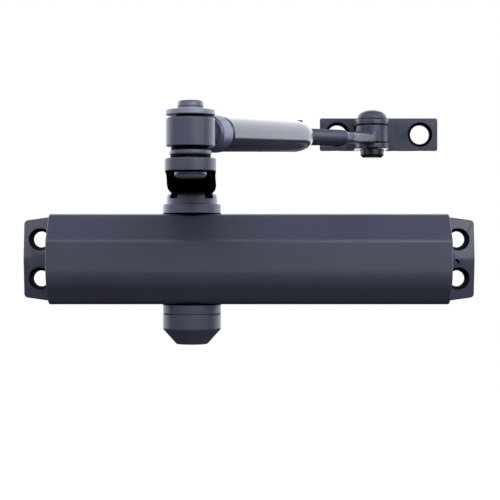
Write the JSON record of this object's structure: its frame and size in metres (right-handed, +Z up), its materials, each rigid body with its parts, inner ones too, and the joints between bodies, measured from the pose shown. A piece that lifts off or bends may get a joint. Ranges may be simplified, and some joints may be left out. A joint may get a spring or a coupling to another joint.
{
  "type": "door closer",
  "caption": "Surface-mounted hydraulic door closer: eight-sided body with lugs, sprung rack-and-pinion shaft, folding arm and adjustable rod to a frame shoe.",
  "frame": {"origin": "centre of the body's flat back face, which lies on the door or frame", "axes": "+X to the right along the body seen from the front, +Y into the door behind it, +Z up along the pinion shaft"},
  "size_m": [0.219, 0.216, 0.1118],
  "materials": {
    "dark_paint": "satin dark blue-grey enamel on cast and pressed metal",
    "black_finish": "black oxide and black nylon, satin",
    "dark_steel": "dark phosphated steel",
    "bright_steel": "bright zinc-plated or ground steel",
    "cast_iron": "machined grey iron",
    "seal_rubber": "matte black nitrile"
  },
  "bodies": {
    "closer_body": {"housing": "dark_paint", "left_end_plug": "dark_steel", "right_end_plug": "dark_steel", "left_plug_o_ring": "seal_rubber", "right_plug_o_ring": "seal_rubber", "upper_bearing": "bright_steel", "lower_bearing": "bright_steel", "upper_bearing_nut": "dark_paint", "lower_bearing_nut": "dark_paint", "upper_shaft_seal": "seal_rubber", "lower_shaft_seal": "seal_rubber", "pinion_dust_cap": "dark_paint"},
    "shaft_and_main_arm": {"pinion_shaft": "dark_steel", "main_arm": "dark_paint", "arm_lock_washer": "dark_steel", "arm_screw": "dark_steel", "elbow_pin": "dark_steel", "elbow_lower_washer": "black_finish", "elbow_spacer_ring": "bright_steel", "elbow_upper_washer": "black_finish", "elbow_neck_washer": "black_finish", "elbow_cup_washer": "bright_steel", "elbow_screw": "dark_steel"},
    "forearm": {"forearm_knuckle": "dark_paint", "forearm_lock_collar": "black_finish", "forearm_tube": "dark_paint", "tube_set_screw": "black_finish"},
    "rod": {"adjusting_rod": "dark_steel", "shoe_bush": "bright_steel"},
    "shoe": {"shoe_bracket": "dark_paint", "shoe_pivot_rivet": "dark_paint"},
    "piston_body": {"piston": "cast_iron", "left_piston_ring": "bright_steel", "right_piston_ring": "bright_steel", "check_ball": "bright_steel", "check_ball_retainer": "bright_steel"},
    "spring_seat_body": {"spring_seat": "cast_iron", "main_spring": "dark_steel"},
    "power_screw": {"power_adjusting_screw": "dark_steel", "power_screw_clip": "bright_steel"},
    "sweep_valve": {"sweep_valve_screw": "bright_steel", "sweep_valve_o_ring": "seal_rubber"},
    "latch_valve": {"latch_valve_screw": "bright_steel", "latch_valve_o_ring": "seal_rubber"},
    "backcheck_valve": {"backcheck_valve_screw": "bright_steel", "backcheck_valve_o_ring": "seal_rubber"}
  },
  "joints": [
    {"name": "pinion_turn", "type": "hinge", "parent": "closer_body", "child": "shaft_and_main_arm", "pos_m": [-0.0272, -0.022, 0], "axis": [0, 0, 1], "range_deg": [0, 170], "stiffness_Nm_per_rad": 8, "springref_deg": -57.3},
    {"name": "piston_slide", "type": "slide", "parent": "closer_body", "child": "piston_body", "axis": [1, 0, 0], "range_m": [0, 0.02375], "deforming": ["main_spring"]},
    {"name": "elbow", "type": "hinge", "parent": "shaft_and_main_arm", "child": "forearm", "pos_m": [-0.02074, -0.20689, 0.0453], "axis": [0, 0, 1], "range_deg": [-155, 150]},
    {"name": "rod_length", "type": "slide", "parent": "forearm", "child": "rod", "axis": [0.3879, 0.9197, 0.061], "range_m": [-0.02, 0.025]},
    {"name": "shoe_pivot", "type": "hinge", "parent": "rod", "child": "shoe", "pos_m": [0.05892, -0.018, 0.06], "axis": [0, 0, 1], "range_deg": [-107, 62]},
    {"name": "power_adjust", "type": "hinge", "parent": "closer_body", "child": "power_screw", "pos_m": [0.09, -0.022, 0], "axis": [-1, 0, 0], "range_deg": [0, 1800]},
    {"name": "spring_seat_slide", "type": "slide", "parent": "closer_body", "child": "spring_seat_body", "axis": [-1, 0, 0], "range_m": [0, 0.0075], "deforming": ["main_spring"]},
    {"name": "sweep_valve_turn", "type": "hinge", "parent": "closer_body", "child": "sweep_valve", "pos_m": [-0.09, -0.04172, 0.0066], "axis": [-1, 0, 0], "range_deg": [-360, 360]},
    {"name": "latch_valve_turn", "type": "hinge", "parent": "closer_body", "child": "latch_valve", "pos_m": [-0.09, -0.04172, -0.0066], "axis": [-1, 0, 0], "range_deg": [-360, 360]},
    {"name": "backcheck_valve_turn", "type": "hinge", "parent": "closer_body", "child": "backcheck_valve", "pos_m": [0.09, -0.0428, 0], "axis": [1, 0, 0], "range_deg": [-360, 360]}
  ],
  "couplings": [
    {"joint": "piston_slide", "follows": "pinion_turn", "m_per_rad": 0.008},
    {"joint": "power_adjust", "follows": "spring_seat_slide", "rad_per_m": 4188.8}
  ]
}
